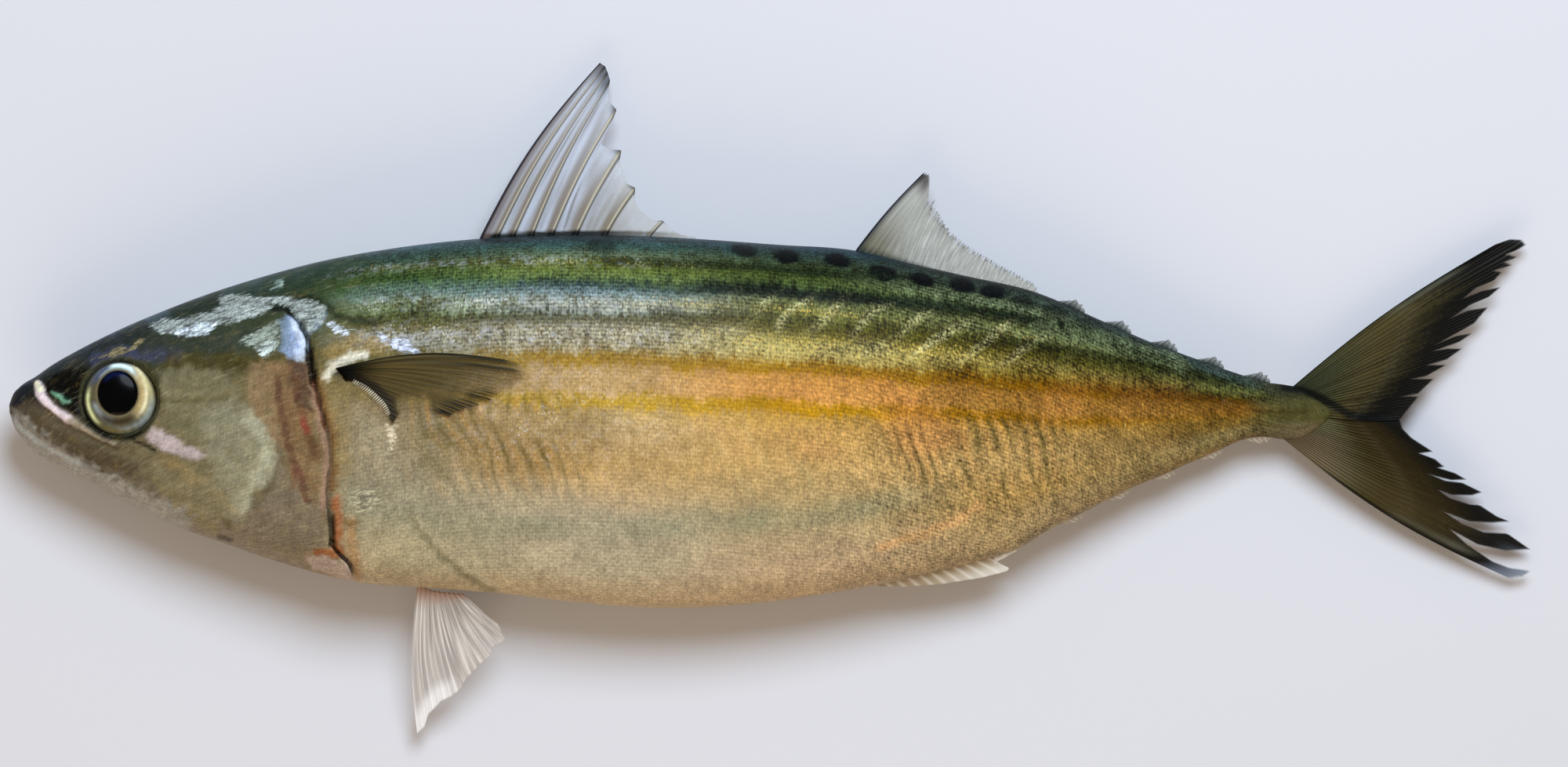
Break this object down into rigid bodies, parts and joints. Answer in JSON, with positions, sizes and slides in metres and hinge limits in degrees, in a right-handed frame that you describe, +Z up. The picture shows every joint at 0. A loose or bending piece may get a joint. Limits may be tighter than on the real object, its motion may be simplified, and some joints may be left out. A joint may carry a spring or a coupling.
{
  "type": "whole raw fish",
  "caption": "Whole raw mackerel-shaped fish lying on its side, fins spread, forked tail, back blue-green and belly pale silver.",
  "frame": {"origin": "middle of the fish's outline seen from above, on the flat surface it lies on", "axes": "+X towards the tail, along the fish; +Y towards the back; +Z up, out of the left flank, away from the surface"},
  "size_m": [0.25, 0.1096, 0.03],
  "materials": {
    "skin": "wet scaly fish skin, silver and yellow bands under a dark blue-green back",
    "eye": "wet clear cornea over a silver-gold iris and a black pupil",
    "gill_cover": "wet thin skin over bone, olive and pinkish silver",
    "spiny_fin": "clear bluish membrane between grey-brown spines",
    "soft_fin": "clear grey membrane with fine rays, dark along the front and the base",
    "pale_fin": "clear white membrane with fine pale rays",
    "pectoral_fin": "dark olive-brown rays close together, wet",
    "tail": "dark olive rays, blackish at the rear edge, wet"
  },
  "bodies": {
    "root": {"body": "skin", "left_eye": "eye", "right_eye": "eye", "left_gill_cover": "gill_cover", "right_gill_cover": "gill_cover", "first_dorsal_fin": "spiny_fin", "second_dorsal_fin": "soft_fin", "anal_fin": "pale_fin", "tail_fin": "tail", "left_pectoral_fin": "pectoral_fin", "right_pectoral_fin": "pectoral_fin", "left_pelvic_fin": "pale_fin", "right_pelvic_fin": "pale_fin", "dorsal_finlet_1": "soft_fin", "dorsal_finlet_2": "soft_fin", "dorsal_finlet_3": "soft_fin", "dorsal_finlet_4": "soft_fin", "dorsal_finlet_5": "soft_fin", "anal_finlet_1": "pale_fin", "anal_finlet_2": "pale_fin", "anal_finlet_3": "pale_fin", "anal_finlet_4": "pale_fin", "anal_finlet_5": "pale_fin"}
  },
  "joints": []
}
